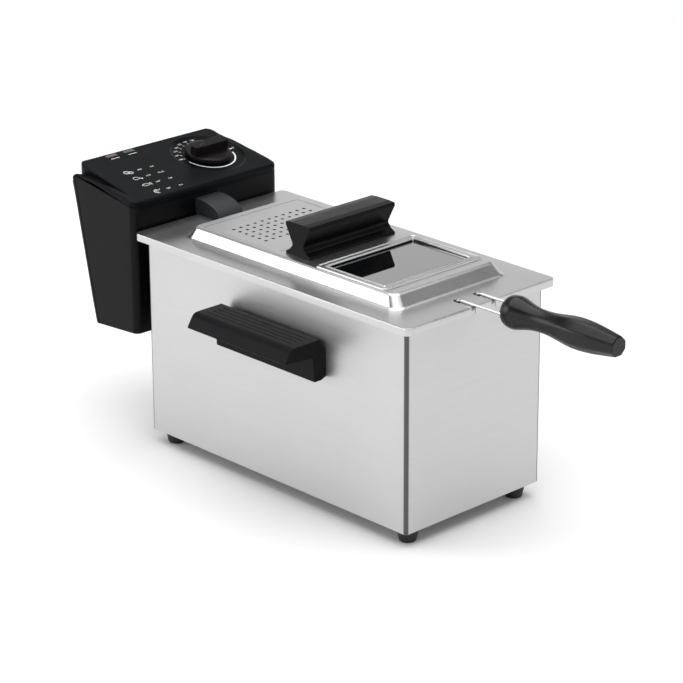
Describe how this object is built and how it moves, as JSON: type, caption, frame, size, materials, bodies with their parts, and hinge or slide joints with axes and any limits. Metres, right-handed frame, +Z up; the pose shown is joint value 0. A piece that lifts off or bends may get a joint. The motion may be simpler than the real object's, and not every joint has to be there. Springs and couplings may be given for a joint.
{
  "type": "deep fryer",
  "caption": "Table-top deep fryer: steel housing with lift-out oil pot, plug-on control unit with heater, basket with handle, and lid with window and filter.",
  "frame": {"origin": "centre of the footprint of the overall box, on the floor", "axes": "+Z up, +X to the right seen from the basket handle, +Y towards the control unit"},
  "size_m": [0.2516, 0.5696, 0.2439],
  "materials": {
    "brushed_steel": "brushed",
    "pot_steel": "satin",
    "bright_wire": "polished",
    "screw_steel": "zinc plated",
    "plated_steel": "zinc plated",
    "black_plastic": "fine texture",
    "knob_plastic": "semi gloss",
    "base_plastic": "matt",
    "rubber": "matt",
    "window_glass": "clear, smoked",
    "heater_sheath": "heat toned",
    "copper": "drawn",
    "lens_red": "clear tinted",
    "lens_green": "clear tinted",
    "inner_plastic": "matt",
    "white_plastic": "matt",
    "reset_plastic": "semi gloss",
    "filter_foam": "open fibre"
  },
  "bodies": {
    "housing": {"housing_shell": "brushed_steel", "base_plate": "base_plastic", "feet": "rubber", "foot_screws": "screw_steel", "side_handle_left": "black_plastic", "side_handle_right": "black_plastic", "side_handle_screws": "screw_steel", "guide_rails": "plated_steel", "interlock_bracket": "plated_steel"},
    "pot": {"oil_pot": "pot_steel"},
    "control": {"control_shell": "black_plastic", "top_cover": "black_plastic", "rear_cover": "black_plastic", "rear_screws": "screw_steel", "bridge_cover": "black_plastic", "element_plate": "plated_steel", "heating_element": "heater_sheath", "element_collars": "copper", "sensor_bulb": "copper", "capillary": "copper", "bulb_clip": "plated_steel", "thermostat_body": "inner_plastic", "lens_red": "lens_red", "lens_green": "lens_green", "lamp_holders": "white_plastic", "safety_cutout": "inner_plastic", "terminal_block": "white_plastic", "cord_inlet": "rubber", "microswitch": "base_plastic"},
    "plunger": {"interlock_plunger": "white_plastic"},
    "reset": {"reset_button": "reset_plastic"},
    "dial": {"thermostat_spindle": "plated_steel", "knob": "knob_plastic", "knob_mark": "white_plastic"},
    "basket": {"basket_mesh": "bright_wire", "basket_rim": "bright_wire", "basket_ribs": "bright_wire", "handle_bracket": "bright_wire", "drain_hook": "bright_wire", "handle_wires": "bright_wire", "basket_grip": "black_plastic"},
    "lid": {"lid_shell": "brushed_steel", "lid_handle": "black_plastic", "lid_handle_screws": "screw_steel", "window_bezel": "bright_wire", "window_glass": "window_glass", "window_seal": "rubber", "window_retainer": "plated_steel", "filter_tray": "plated_steel", "filter_pads": "filter_foam"},
    "filter": {"filter_cover": "brushed_steel"}
  },
  "joints": [
    {"name": "pot_lift", "type": "slide", "parent": "housing", "child": "pot", "axis": [0, 0, 1], "range_m": [0, 0.165]},
    {"name": "control_lift", "type": "slide", "parent": "pot", "child": "control", "axis": [0, 0, 1], "range_m": [0, 0.15]},
    {"name": "basket_lift", "type": "slide", "parent": "control", "child": "basket", "axis": [0, 0, 1], "range_m": [0, 0.125]},
    {"name": "lid_lift", "type": "slide", "parent": "basket", "child": "lid", "axis": [0, 0, 1], "range_m": [0, 0.06]},
    {"name": "filter_cover_lift", "type": "slide", "parent": "lid", "child": "filter", "axis": [0, 0, 1], "range_m": [0, 0.03]},
    {"name": "knob_turn", "type": "hinge", "parent": "control", "child": "dial", "pos_m": [0.041, 0.24377, 0.23132], "axis": [0, -0.2049, 0.9788], "range_deg": [-105, 176]},
    {"name": "reset_press", "type": "slide", "parent": "control", "child": "reset", "axis": [0, -0.9804, 0.1968], "range_m": [0, 0.0015], "stiffness_N_per_m": 300},
    {"name": "interlock_press", "type": "slide", "parent": "control", "child": "plunger", "axis": [0, 0, 1], "range_m": [0, 0.0015], "stiffness_N_per_m": 150}
  ]
}
